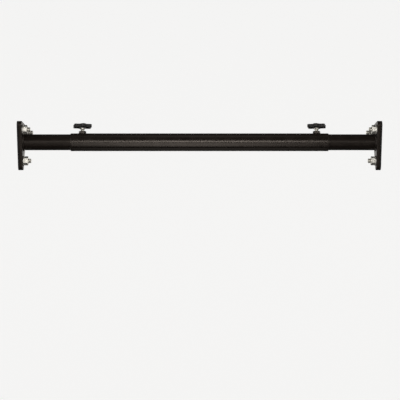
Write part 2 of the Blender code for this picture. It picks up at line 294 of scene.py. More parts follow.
def hexagon(
    across_flats: float, bottom: float, top: float, bore: float, chamfers: tuple[bool, bool] = (True, True)
) -> Surface:
    """A hexagonal nut about Z, with flats facing along Y, whose corners are turned down by a 30 degree cone.

    At angle a the flank's radius is R(a), half the width over the cosine of the angle from the flat's middle.
    The cone starts on the face at a radius just under half the width, so it meets the flank lower at a corner
    than on a flat: the drop is (R(a) - face radius) times the tangent of 30 degrees.

    Args:
        across_flats: Width over two flats.
        bottom: Height of the lower face.
        top: Height of the upper face.
        bore: Radius of the hole, or 0 for a solid head.
        chamfers: Whether the lower and the upper face are turned down.

    Returns:
        The surface, a closed ring, or closed at the axis where there is no bore.
    """
    angle = np.arange(6 * FLAT_POINTS) * 2 * pi / (6 * FLAT_POINTS)
    flank = hexagon_radius(angle + pi / 6, across_flats)
    flank = np.minimum(flank, across_flats / 2 * HEX_CORNER * NUT_CORNER_CUT)
    face = across_flats / 2 * NUT_FACE
    drop = (flank - face) * NUT_CONE_SLOPE
    low, high = (drop if used else 0.0 for used in chamfers)
    low_face, high_face = (face if used else flank for used in chamfers)
    lead = 0.5 * MM if bore else 0.0
    rings = (
        (bore, bottom + lead, 0.0),
        (bore + lead, bottom, 0.4),
        (low_face, bottom, 0.7),
        (flank, bottom + low, 1.0),
        (flank, (bottom + top) / 2, 0.1),
        (flank, top - high, 1.0),
        (high_face, top, 0.7),
        (bore + lead, top, 0.4),
        (bore, top - lead, 0.0),
    )
    radius, height, wear = (np.stack([value + 0 * flank for value in column]) for column in zip(*rings))
    return Surface.grid(polar(radius, angle, height), wear, loop_rows=bool(bore))


@dataclass
class Outline:
    """A closed flat outline: points in order round it, and the outward normal at each."""

    points: Array
    normals: Array

    def inset(self, amount: float) -> Array:
        """The points moved inwards along their normals."""
        return self.points - self.normals * amount

    @classmethod
    def round_circles(cls, circles: Sequence[tuple[float, float, float]], count: int) -> "Outline":
        """The tight band round a set of circles.

        In each direction a, the circle that reaches farthest gives the point: its centre plus its radius
        times (cos a, sin a), which is also the normal. The band is then cut into equal lengths, so its
        straight parts get points too.

        Args:
            circles: X, Y and radius of each.
            count: How many points to give.

        Returns:
            The outline.
        """
        table = np.array(circles, float)
        angle = np.linspace(0.0, 2 * pi, BAND_STEPS)
        normal = ways(angle)
        reach = normal @ table[:, :2].T + table[:, 2]
        chosen = table[np.argmax(reach, axis=1)]
        band = chosen[:, :2] + chosen[:, 2:] * normal
        along = np.concatenate(([0.0], np.cumsum(np.linalg.norm(np.diff(band, axis=0), axis=1))))
        at = np.arange(count) * along[-1] / count
        points = np.stack([np.interp(at, along, band[:, i]) for i in (0, 1)], axis=1)
        return cls(points, ways(np.interp(at, along, angle)))

    @classmethod
    def star(cls, lobes: int, ring: float, lobe: float, valley: float, steps: int) -> "Outline":
        """A star of round lobes, with arcs between them that touch both neighbours and dip inwards.

        Lobe centres stand on a ring. A valley's centre is on the line midway between two lobes, as far out as
        makes its arc touch both. Angles run evenly along each arc. A lobe's normal points away from its
        centre, and a valley's towards its own.

        Args:
            lobes: How many.
            ring: Radius of the ring of lobe centres.
            lobe: Radius of a lobe.
            valley: Radius of a valley.
            steps: Points on each arc.

        Returns:
            The outline, starting at one end of the lobe that faces +X.
        """
        half = pi / lobes
        across = ring * sin(half)
        rise = sqrt((lobe + valley) ** 2 - across**2)
        lean = atan2(across, rise)
        out = 2 * half * np.arange(lobes)[:, None]
        share = np.arange(steps)[None, :] / steps
        on_lobe = out + (half + lean) * (2 * share - 1)
        on_valley = out + half + pi + lean * (1 - 2 * share)
        way, back = ways(on_lobe), ways(on_valley)
        hollow = (ring * cos(half) + rise) * ways(out + half)
        points = np.stack((ring * ways(out) + lobe * way, hollow + valley * back), axis=1)
        return cls(points.reshape(-1, 2), np.stack((way, -back), axis=1).reshape(-1, 2))


def circle_points(centre: tuple[float, float], radius: float, count: int) -> Array:
    """Points evenly round a circle."""
    return np.asarray(centre) + radius * ways(np.arange(count) * 2 * pi / count)


def sheet_between(
    rim: Array, holes: Sequence[Array], height: float, spots: Array | None = None, sink: Array | None = None
) -> Surface:
    """A face inside a rim and outside its holes, filled with triangles.

    A triangle whose corners are all on one hole's ring would cover that hole, so it is left out.

    Args:
        rim: Points round the outer edge.
        holes: Points round each hole.
        height: The face's height.
        spots: Points inside the face, where it has a relief.
        sink: How far each of those points lies under the face, towards height 0.

    Returns:
        The surface.
    """
    loops = [rim, *holes]
    starts = np.cumsum([0] + [len(loop) for loop in loops])
    steps = [start + np.arange(len(loop)) for loop, start in zip(loops, starts)]
    edges = np.vstack([np.stack((step, np.roll(step, -1)), axis=1) for step in steps])
    flat = np.vstack(loops if spots is None else [*loops, spots])
    corners = [Vector(spot) for spot in flat.tolist()]
    found = delaunay_2d_cdt(corners, edges.tolist(), [], FILL_MODE, WELD_DISTANCE / 10)
    placed = np.array([tuple(spot) for spot in found[0]], float)
    depth = np.zeros(len(flat))
    if sink is not None:
        depth[-len(sink) :] = sink
    source = np.array([came_from[0] if came_from else 0 for came_from in found[3]])
    level = height - np.sign(height) * depth[source]
    loop = np.searchsorted(starts[1:], source, side="right")
    kept = [face for face in found[2] if len(set(loop[face])) > 1 or loop[face[0]] in (0, len(loops))]
    return Surface(np.column_stack((placed, level)), [list(face) for face in kept], np.zeros(len(placed)))


def edge_band(outline: Outline, thickness: float, edge: float) -> Surface:
    """The outer wall of a flat plate, with quarter-round edges.

    At turn t of an edge the outline is inset by edge (1 - sin t) and stands edge (1 - cos t) inside the face.

    Args:
        outline: The plate's outer edge in X and Y.
        thickness: Thickness along Z, about the middle plane.
        edge: Radius of the rounded edges.

    Returns:
        The open band, whose rims are inset by the edge's radius.
    """
    turn = np.linspace(0.0, pi / 2, 6)
    inset = edge * (1 - np.sin(turn))
    level = thickness / 2 - edge * (1 - np.cos(turn))
    inset = np.concatenate((inset, inset[::-1]))
    level = np.concatenate((level, -level[::-1]))
    spots = outline.points[None] - outline.normals[None] * inset[:, None, None]
    heights = np.broadcast_to(level[:, None, None], (*spots.shape[:2], 1))
    worn = near(level, (-thickness / 2, thickness / 2), 2 * edge)
    return Surface.grid(np.concatenate((spots, heights), axis=-1), worn[:, None])


def hole_walls(holes: Sequence[tuple[float, float, float]], thickness: float, lead: float) -> list[Surface]:
    """The walls of round holes through a plate, opened by a 45 degree lead at both faces.

    Args:
        holes: X, Y and radius of each.
        thickness: The plate's thickness, about its middle plane.
        lead: Width of the leads.

    Returns:
        One open surface for each hole.
    """
    half = thickness / 2
    walls = []
    for x, y, radius in holes:
        wide = radius + lead
        section = np.array([(wide, half), (radius, half - lead), (radius, lead - half), (wide, -half)])
        walls.append(turning(section, HOLE_POINTS, 0.6, closed=False).moved((x, y, 0.0)))
    return walls


# Finishes


class Group(Enum):
    """The shader node groups that the finishes share."""

    GRAIN = "surface_grain"
    MOTTLE = "colour_mottle"
    EDGE_WEAR = "edge_wear"
    SCRATCHES = "fine_scratches"
    DUST = "settled_dust"


def put(tree: Tree, kind: str, settings: dict | None = None, **inputs: object) -> Node:
    """Adds a node.

    Args:
        tree: The tree that it goes in.
        kind: The node's type, such as ShaderNodeMath.
        settings: Its own options.
        inputs: A value or a socket for each input, by name with underscores for spaces, or by place as i0.

    Returns:
        The node.
    """
    node = tree.nodes.new(kind)
    for name, value in (settings or {}).items():
        setattr(node, name, value)
    for name, value in inputs.items():
        numbered = name[0] == "i" and name[1:].isdigit()
        socket = node.inputs[int(name[1:]) if numbered else name.replace("_", " ")]
        if isinstance(value, bpy.types.NodeSocket):
            tree.links.new(value, socket)
        else:
            socket.default_value = value
    return node


def math(tree: Tree, operation: str, *values: object, clamp: bool = False) -> Socket:
    """The result of a Math node."""
    inputs = {f"i{place}": value for place, value in enumerate(values)}
    return put(tree, "ShaderNodeMath", {"operation": operation, "use_clamp": clamp}, **inputs).outputs[0]


def ramp(
    tree: Tree, value: Socket, low: float, high: float, low_out: float = 0.0, high_out: float = 1.0
) -> Socket:
    """A value mapped smoothly from one range to another, and held at its ends."""
    settings = {"interpolation_type": "SMOOTHSTEP"}
    ranges = {"From_Min": low, "From_Max": high, "To_Min": low_out, "To_Max": high_out}
    return put(tree, "ShaderNodeMapRange", settings, Value=value, **ranges).outputs[0]


def mix(tree: Tree, share: object, first: object, second: object) -> Socket:
    """A colour between two others."""
    return put(tree, "ShaderNodeMix", {"data_type": "RGBA"}, i0=share, i6=first, i7=second).outputs[2]


def noise(tree: Tree, vector: Socket, scale: object, detail: float, roughness: float) -> Socket:
    """A noise texture's value."""
    inputs = {"Vector": vector, "Scale": scale, "Detail": detail, "Roughness": roughness}
    return put(tree, "ShaderNodeTexNoise", None, **inputs).outputs[0]


def new_group(kind: Group, outputs: Sequence[str], **inputs: object) -> tuple[Tree, Node, list[Socket]]:
    """An empty node group with named sockets, the first of which is the place on the surface.

    Args:
        kind: Which group.
        outputs: The outputs' names. One that is called Colour is a colour, and the others are values.
        inputs: The default of each further input, by name with underscores for spaces.

    Returns:
        The tree, its output node, and the sockets of its inputs.
    """
    tree = bpy.data.node_groups.new(kind.value, "ShaderNodeTree")
    for name, default in {"Vector": (0.0, 0.0, 0.0), **inputs}.items():
        word = "Float" if isinstance(default, float) else "Color" if len(default) == 4 else "Vector"
        spaced = name.replace("_", " ")
        socket = tree.interface.new_socket(name=spaced, in_out="INPUT", socket_type="NodeSocket" + word)
        socket.default_value = default
    for name in outputs:
        word = "Color" if name == "Colour" else "Float"
        tree.interface.new_socket(name=name, in_out="OUTPUT", socket_type="NodeSocket" + word)
    start, end = tree.nodes.new("NodeGroupInput"), tree.nodes.new("NodeGroupOutput")
    return tree, end, list(start.outputs)[: len(inputs) + 1]


def build_grain() -> None:
    """Surface grain: soft swells with a finer grain over them, as a height."""
    made = new_group(Group.GRAIN, ["Height"], Scale=1000.0, Fineness=4.0, Fine_Share=0.3)
    tree, end, (vector, scale, fineness, share) = made
    swell = noise(tree, vector, scale, 2.0, 0.4)
    fine = noise(tree, vector, math(tree, "MULTIPLY", scale, fineness), 2.0, 0.6)
    tree.links.new(math(tree, "ADD", swell, math(tree, "MULTIPLY", fine, share)), end.inputs["Height"])


def build_mottle() -> None:
    """Colour mottle: large soft patches between two colours, broken by a finer noise."""
    greys = {"Colour": (0.5, 0.5, 0.5, 1.0), "Second_Colour": (0.4, 0.4, 0.4, 1.0)}
    made = new_group(Group.MOTTLE, ["Colour", "Mask"], Scale=60.0, **greys)
    tree, end, (vector, scale, first, second) = made
    patches = ramp(tree, noise(tree, vector, scale, 5.0, 0.62), 0.34, 0.66)
    tree.links.new(mix(tree, patches, first, second), end.inputs["Colour"])
    tree.links.new(patches, end.inputs["Mask"])


def build_edge_wear() -> None:
    """Edge wear: the piece's own wear value, eaten into by noise, as a mask."""
    made = new_group(Group.EDGE_WEAR, ["Mask"], Wear=0.0, Amount=0.5, Scale=500.0)
    tree, end, (vector, wear, amount, scale) = made
    broken = math(tree, "MULTIPLY", wear, ramp(tree, noise(tree, vector, scale, 4.0, 0.6), 0.3, 0.75))
    tree.links.new(ramp(tree, math(tree, "MULTIPLY", broken, amount), 0.3, 0.7), end.inputs["Mask"])


def build_scratches() -> None:
    """Fine scratches: noise drawn out along X, thinned to lines, and kept to patches."""
    made = new_group(Group.SCRATCHES, ["Mask"], Stretch=(1.0, 1.0, 1.0), Amount=0.5)
    tree, end, (vector, stretch, amount) = made
    drawn = put(tree, "ShaderNodeVectorMath", {"operation": "MULTIPLY"}, i0=vector, i1=stretch).outputs[0]
    lines = ramp(tree, noise(tree, drawn, 1.0, 2.0, 0.5), 0.62, 0.70)
    patches = ramp(tree, noise(tree, vector, 30.0, 2.0, 0.5), 0.42, 0.62)
    found = math(tree, "MULTIPLY", lines, patches)
    tree.links.new(math(tree, "MULTIPLY", found, amount, clamp=True), end.inputs["Mask"])


def build_dust() -> None:
    """Settled dust: where the piece's own surface faces up, broken into soft specks."""
    made = new_group(Group.DUST, ["Mask"], Normal=(0.0, 0.0, 1.0), Amount=0.3)
    tree, end, (vector, normal, amount) = made
    up = ramp(tree, put(tree, "ShaderNodeSeparateXYZ", None, Vector=normal).outputs["Z"], 0.35, 1.0)
    specks = ramp(tree, noise(tree, vector, 900.0, 3.0, 0.7), 0.45, 0.75, 0.35, 1.0)
    lying = math(tree, "MULTIPLY", up, specks)
    tree.links.new(math(tree, "MULTIPLY", lying, amount, clamp=True), end.inputs["Mask"])


class Sheet:
    """A material's node tree, with the inputs that every finish starts from."""

    def __init__(self, name: str) -> None:
        """Starts a material with a Principled shader.

        Args:
            name: The material's name.
        """
        self.material = bpy.data.materials.new(name)
        self.material.use_nodes = True
        self.tree = self.material.node_tree
        self.shader = self.tree.nodes["Principled BSDF"]
        place = self.tree.nodes.new("ShaderNodeTexCoord")
        self.vector = place.outputs["Object"]
        self.normal = place.outputs["Normal"]
        self.wear = put(self.tree, "ShaderNodeAttribute", {"attribute_name": "wear"}).outputs["Fac"]

    def group(self, kind: Group, **inputs: object) -> Node:
        """Places one of the shared groups in the object's own space and fills its inputs."""
        settings = {"node_tree": bpy.data.node_groups[kind.value]}
        return put(self.tree, "ShaderNodeGroup", settings, Vector=self.vector, **inputs)

    def mottle(self, scale: float, first: Colour, second: Colour) -> tuple[Socket, Socket]:
        """The colour of a mottle between two colours, and its mask."""
        node = self.group(Group.MOTTLE, Scale=scale, Colour=first, Second_Colour=second)
        return node.outputs["Colour"], node.outputs["Mask"]

    def worn(self, amount: float, scale: float) -> Socket:
        """The mask of the edges that are rubbed."""
        return self.group(Group.EDGE_WEAR, Wear=self.wear, Amount=amount, Scale=scale).outputs["Mask"]

    def dust(self, amount: float) -> Socket:
        """The mask of the dust that lies on top."""
        return self.group(Group.DUST, Normal=self.normal, Amount=amount).outputs["Mask"]

    def grain(
        self, scale: float, fineness: float, share: float, depth: float, strength: float = 1.0
    ) -> Socket:
        """The normal of a grained surface."""
        height = self.group(Group.GRAIN, Scale=scale, Fineness=fineness, Fine_Share=share).outputs["Height"]
        bump = put(self.tree, "ShaderNodeBump", None, Height=height, Distance=depth, Strength=strength)
        return bump.outputs["Normal"]

    def over(self, mask: Socket, colour: Socket, upper: Colour, share: float = 1.0) -> Socket:
        """A colour with another laid over it, by a share of a mask."""
        return mix(self.tree, math(self.tree, "MULTIPLY", mask, share), colour, upper)

    def raised(self, start: object, *masks: tuple[Socket, float]) -> Socket:
        """A value with a share of each mask added in turn, the last one held between 0 and 1."""
        for place, (mask, share) in enumerate(masks, 1):
            start = math(self.tree, "MULTIPLY_ADD", mask, share, start, clamp=place == len(masks))
        return start

    def fixed(self, **values: object) -> None:
        """Sets values that are the same all over on the shader's own sockets."""
        for name, value in values.items():
            self.shader.inputs[name.replace("_", " ")].default_value = value

    def link(self, **sockets: Socket) -> None:
        """Links values that change over the surface to the shader."""
        for name, socket in sockets.items():
            self.tree.links.new(socket, self.shader.inputs[name.replace("_", " ")])


@dataclass(frozen=True)
class Recipe(ABC):
    """How a finish is made."""

    name: str

    @abstractmethod
    def shade(self, sheet: Sheet) -> None:
        """Links the finish to the shader."""

    def build(self) -> bpy.types.Material:
        """The finish's material, newly made."""
        sheet = Sheet(self.name)
        self.shade(sheet)
        return sheet.material


@dataclass(frozen=True)
class PowderCoat(Recipe):
    """Semi-gloss powder coat on steel, with orange peel, rubbed edges, fine scratches and a little dust."""

    colour: Colour = (0.0100, 0.0075, 0.0062, 1.0)
    second: Colour = (0.0140, 0.0105, 0.0088, 1.0)
    rubbed: Colour = (0.034, 0.029, 0.026, 1.0)
    dust: Colour = (0.20, 0.18, 0.16, 1.0)
    tint: Colour = (1.0, 0.90, 0.82, 1.0)
    roughness: float = 0.24
    peel_scale: float = 900.0
    peel_depth: float = 0.0010 * MM
    scratch_stretch: tuple[float, float, float] = (60.0, 4200.0, 4200.0)
    scratches: float = 0.5
    dusty: float = 0.05
    edges: float = 0.8
    gloss: float = 0.5
    slot: Slot = Slot.COAT

    def shade(self, sheet: Sheet) -> None:
        """Links the finish to the shader."""
        colour, mottle = sheet.mottle(45.0, self.colour, self.second)
        worn = sheet.worn(self.edges, 700.0)
        drawn = sheet.group(Group.SCRATCHES, Stretch=self.scratch_stretch, Amount=self.scratches)
        lines = drawn.outputs["Mask"]
        dust = sheet.dust(self.dusty)
        colour = sheet.over(worn, colour, self.rubbed)
        colour = sheet.over(lines, colour, self.rubbed, 0.35)
        colour = sheet.over(dust, colour, self.dust)
        rough = sheet.raised(self.roughness, (mottle, 0.05), (lines, 0.15), (dust, 0.8))
        peel = sheet.grain(self.peel_scale, 5.0, 0.15, self.peel_depth)
        sheet.link(Base_Color=colour, Roughness=rough, Normal=peel)
        sheet.fixed(Specular_IOR_Level=self.gloss, Specular_Tint=self.tint)


@dataclass(frozen=True)
class ZincPlate(Recipe):
    """Bright zinc plate: a crystalline mottle, faint stains, a fine grain, and polished edges."""

    colour: Colour = (0.95, 0.93, 0.88, 1.0)
    second: Colour = (0.86, 0.84, 0.78, 1.0)
    stain: Colour = (0.34, 0.31, 0.26, 1.0)
    polished: Colour = (0.92, 0.91, 0.88, 1.0)
    roughness: float = 0.36
    grain_depth: float = 0.0008 * MM
    slot: Slot = Slot.ZINC

    def shade(self, sheet: Sheet) -> None:
        """Links the finish to the shader."""
        colour, mottle = sheet.mottle(700.0, self.colour, self.second)
        stained = sheet.mottle(160.0, self.colour, self.stain)[1]
        colour = sheet.over(stained, colour, self.stain, 0.07)
        colour = sheet.over(sheet.worn(1.0, 900.0), colour, self.polished, 0.5)
        rough = sheet.raised(self.roughness, (mottle, 0.04), (stained, 0.06))
        sheet.link(Base_Color=colour, Roughness=rough, Normal=sheet.grain(2600.0, 3.0, 0.5, self.grain_depth))
        sheet.fixed(Metallic=1.0)


@dataclass(frozen=True)
class MouldedPlastic(Recipe):
    """Moulded plastic with spark texture, polished where hands rub its edges."""

    colour: Colour = (0.016, 0.016, 0.016, 1.0)
    second: Colour = (0.022, 0.022, 0.022, 1.0)
    rubbed: Colour = (0.045, 0.044, 0.043, 1.0)
    dust: Colour = (0.22, 0.21, 0.19, 1.0)
    roughness: float = 0.25
    texture_depth: float = 0.003 * MM
    dusty: float = 0.12
    slot: Slot = Slot.PLASTIC

    def shade(self, sheet: Sheet) -> None:
        """Links the finish to the shader."""
        colour, mottle = sheet.mottle(220.0, self.colour, self.second)
        worn, dust = sheet.worn(0.9, 600.0), sheet.dust(self.dusty)
        colour = sheet.over(worn, colour, self.rubbed, 0.5)
        colour = sheet.over(dust, colour, self.dust)
        rough = sheet.raised(self.roughness, (worn, -0.12), (mottle, 0.05), (dust, 0.5))
        texture = sheet.grain(2200.0, 2.0, 0.5, self.texture_depth, 0.6)
        sheet.link(Base_Color=colour, Roughness=rough, Normal=texture)


@dataclass(frozen=True)
class RubberSheet(Recipe):
    """Matt rubber with a coarse grain and a paler bloom on its edges."""

    colour: Colour = (0.011, 0.011, 0.011, 1.0)
    second: Colour = (0.018, 0.018, 0.017, 1.0)
    bloom: Colour = (0.055, 0.054, 0.052, 1.0)
    roughness: float = 0.78
    grain_depth: float = 0.05 * MM
    slot: Slot = Slot.RUBBER

    def shade(self, sheet: Sheet) -> None:
        """Links the finish to the shader."""
        colour, mottle = sheet.mottle(130.0, self.colour, self.second)
        colour = sheet.over(sheet.worn(0.9, 350.0), colour, self.bloom, 0.7)
        rough = sheet.raised(self.roughness, (mottle, 0.10))
        grain = sheet.grain(1300.0, 4.0, 0.6, self.grain_depth, 0.7)
        sheet.link(Base_Color=colour, Roughness=rough, Normal=grain)


@dataclass(frozen=True)
class TurnedStock(Recipe):
    """A turned or moulded inner piece, with a soft mottle and a fine grain."""

    colour: Colour
    second: Colour
    roughness: float
    metallic: float
    slot: Slot
    grain_depth: float = 0.01 * MM

    def shade(self, sheet: Sheet) -> None:
        """Links the finish to the shader."""
        colour, mottle = sheet.mottle(300.0, self.colour, self.second)
        rough = sheet.raised(self.roughness, (mottle, 0.1))
        grain = sheet.grain(2400.0, 3.0, 0.4, self.grain_depth, 0.8)
        sheet.link(Base_Color=colour, Roughness=rough, Normal=grain)
        sheet.fixed(Metallic=self.metallic)


class Finish(Enum):
    """Every finish on the bar, and how it is made."""

    TUBE_COAT = PowderCoat("tube_powder_coat")
    ARM_COAT = PowderCoat("arm_powder_coat", roughness=0.28, scratches=0.9, gloss=0.20)
    FLANGE_COAT = PowderCoat(
        "flange_powder_coat",
        peel_scale=650.0,
        roughness=0.34,
        gloss=0.25,
        scratch_stretch=(900.0, 900.0, 900.0),
        scratches=0.15,
        edges=1.0,
    )
    WELD_COAT = PowderCoat("weld_powder_coat", peel_scale=1200.0, scratches=0.0, roughness=0.28, edges=0.0)
    ZINC = ZincPlate("zinc_plate")
    KNOB = MouldedPlastic("knob_plastic")
    CAP = MouldedPlastic("cap_plastic", roughness=0.26, texture_depth=0.002 * MM)
    RUBBER = RubberSheet("pad_rubber")
    NYLON = TurnedStock("plug_nylon", (0.55, 0.55, 0.52, 1.0), (0.48, 0.48, 0.45, 1.0), 0.5, 0.0, Slot.NYLON)
    BRASS = TurnedStock("clamp_brass", (0.72, 0.52, 0.22, 1.0), (0.60, 0.42, 0.18, 1.0), 0.3, 1.0, Slot.BRASS)

    @property
    def material(self) -> bpy.types.Material:
        """Its material, built the first time that it is asked for."""
        return bpy.data.materials.get(self.value.name) or self.value.build()


# Pieces


def make_piece(node: str, surface: Surface, body: str) -> bpy.types.Object:
    """Makes a surface an object that rides on a body in place of a node.

    Doubles are merged, which closes seams and poles, and then the faces are turned outwards.

    Args:
        node: The node that it stands for.
        surface: Its surface, in place.
        body: The body that it moves with.

    Returns:
        The object.
    """
    name = node + "_look"
    mesh = bpy.data.meshes.new(name)
    mesh.from_pydata(surface.points.tolist(), [], surface.faces)
    layer = mesh.attributes.new("wear", "FLOAT", "POINT")
    layer.data.foreach_set("value", surface.wear.astype(np.float32))
    shape = bmesh.new()
    shape.from_mesh(mesh)
    bmesh.ops.remove_doubles(shape, verts=shape.verts, dist=WELD_DISTANCE)
    bmesh.ops.recalc_face_normals(shape, faces=shape.faces)
    shape.to_mesh(mesh)
    shape.free()
    mesh.shade_smooth()
    mesh.set_sharp_from_angle(angle=SHARP_ANGLE)
    obj = bpy.data.objects.new(name, mesh)
    bpy.context.scene.collection.objects.link(obj)
    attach(obj, body)
    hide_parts(node)
    LOG.info("%s: %d faces on %s", name, len(mesh.polygons), body)
    return obj


def dress_node(node: str, finish: Finish) -> None:
    """Gives a node that keeps its own shape a finish."""
    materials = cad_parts[node].data.materials
    materials.clear()
    materials.append(finish.material)
    LOG.info("%s: kept, with %s", node, finish.value.name)


# Sub-assemblies


@dataclass
class Assembly(ABC):
    """A sub-assembly of the bar, which shapes its pieces and then gives them their finishes."""

    pieces: dict[str, bpy.types.Object] = field(default_factory=dict, init=False)

    @abstractmethod
    def build(self) -> None:
        """Shapes the pieces."""

    @abstractmethod
    def dress(self) -> None:
        """Gives the pieces their finishes."""

    def named(self, piece: str) -> str:
        """The name of a piece's node."""
        return piece

    def add(self, piece: str, surface: Surface, body: str) -> None:
        """Makes a surface the piece that stands for a node."""
        self.pieces[piece] = make_piece(self.named(piece), surface, body)

    def paint(self, finish: Finish, *pieces: str) -> None:
        """Gives pieces a finish."""
        for piece in pieces:
            made = self.pieces[piece]
            made.data.materials.append(finish.material)


@dataclass
class EndAssembly(Assembly):
    """A sub-assembly at one end of the bar."""

    side: Side

    def named(self, piece: str) -> str:
        """The name of this end's node for a piece."""
        return f"{self.side.name.lower()}_{piece}"


@dataclass(frozen=True)
class Tube:
    """A steel tube whose four rims are rounded and rub first."""

    length: float
    radius: float
    wall: float
    edge: float
    segments: int
    rubbed: float = 5 * MM
    longest_step: float = 4 * MM

    def surface(self, start: float, drawn_out: float = 0.0) -> Surface:
        """The tube's surface.

        Args:
            start: Where it starts on Z.
            drawn_out: How far it runs past its length.

        Returns:
            The surface, a closed ring about Z.
        """
        inner, length = self.radius - self.wall, self.length + drawn_out
        spots = ((self.radius, 0.0), (self.radius, length), (inner, length), (inner, 0.0))
        profile = divided(softened([(*spot, self.edge) for spot in spots]), self.longest_step)
        worn = near(profile[:, 1], (0.0, length), self.rubbed)
        return turning(profile, self.segments, worn).moved((0.0, 0.0, start))


@dataclass
class GripTube(Assembly):
    """The steel tube that the hands hold."""

    tube: Tube = Tube(550 * MM, 19 * MM, 1.8 * MM, 0.6 * MM, 144)

    def build(self) -> None:
        """Shapes the tube, centred on the origin."""
        self.add("grip_tube", self.tube.surface(-self.tube.length / 2).along_x(), "grip")

    def dress(self) -> None:
        """Coats the tube."""
        self.paint(Finish.TUBE_COAT, "grip_tube")


@dataclass
class LockNut(EndAssembly):
    """The nut over the screw hole in the grip tube, with the weld bead at its foot."""

    x: float = 250.3 * MM
    across_flats: float = 14 * MM
    top: float = 24 * MM
    foot: float = 17.4 * MM
    bore: float = 3.9 * MM
    tube_radius: float = 19 * MM
    bead_height: float = 1.9 * MM
    bead_width: float = 2.0 * MM
    corner_limit: float = 7.6 * MM
    ripples: int = 26
    steps: int = 312

    def bead(self) -> Surface:
        """The weld bead, a rippled fillet between the nut's flanks and the round tube.

        At angle a and share t across the fillet, the radius is the nut's flank plus the bead's width times
        1 - cos(t quarter turns), and the rise over the tube is the bead's height times 1 - sin(t quarter turns).
        Both are swollen by the ripples. A ripple's crest lags behind at the middle of the fillet, as a weld
        pool's does. The tube's own height at that spot is the square root of its radius squared less y squared.

        Returns:
            The surface, a closed ring.
        """
        angle = np.arange(self.steps)[None, :] * 2 * pi / self.steps
        share = np.linspace(0.0, 1.0, 9)[:, None]
        flank = np.minimum(hexagon_radius(angle + pi / 6, self.across_flats), self.corner_limit)
        lag = 0.45 * (1 - (2 * share - 1) ** 2)
        ripple = ((angle / (2 * pi) * self.ripples + lag) % 1.0 - 0.5) ** 2 * 4
        swell = 1 - 0.13 * ripple
        out = flank - 0.2 * MM + self.bead_width * swell * (1 - np.cos(share * pi / 2))
        rise = self.bead_height * swell * (1 - 0.94 * np.sin(share * pi / 2))
        out = np.vstack((out[:1], out, out[-1:]))
        rise = np.vstack((0 * rise[:1] - 0.4 * MM, rise, 0 * rise[:1] - 0.4 * MM))
        x, y = out * np.cos(angle), out * np.sin(angle)
        points = np.stack((x, y, np.sqrt(self.tube_radius**2 - y**2) + rise), axis=-1)
        return Surface.grid(points, 0.0, loop_rows=True)

    def build(self) -> None:
        """Shapes the nut and the bead."""
        nut = hexagon(self.across_flats, self.foot, self.top, self.bore, (False, True))
        for piece, surface in (("weld_nut", nut), ("weld_nut_bead", self.bead())):
            self.add(piece, surface.moved((self.x, 0.0, 0.0)).on_side(self.side), "grip")

    def dress(self) -> None:
        """Coats both."""
        self.paint(Finish.WELD_COAT, "weld_nut", "weld_nut_bead")


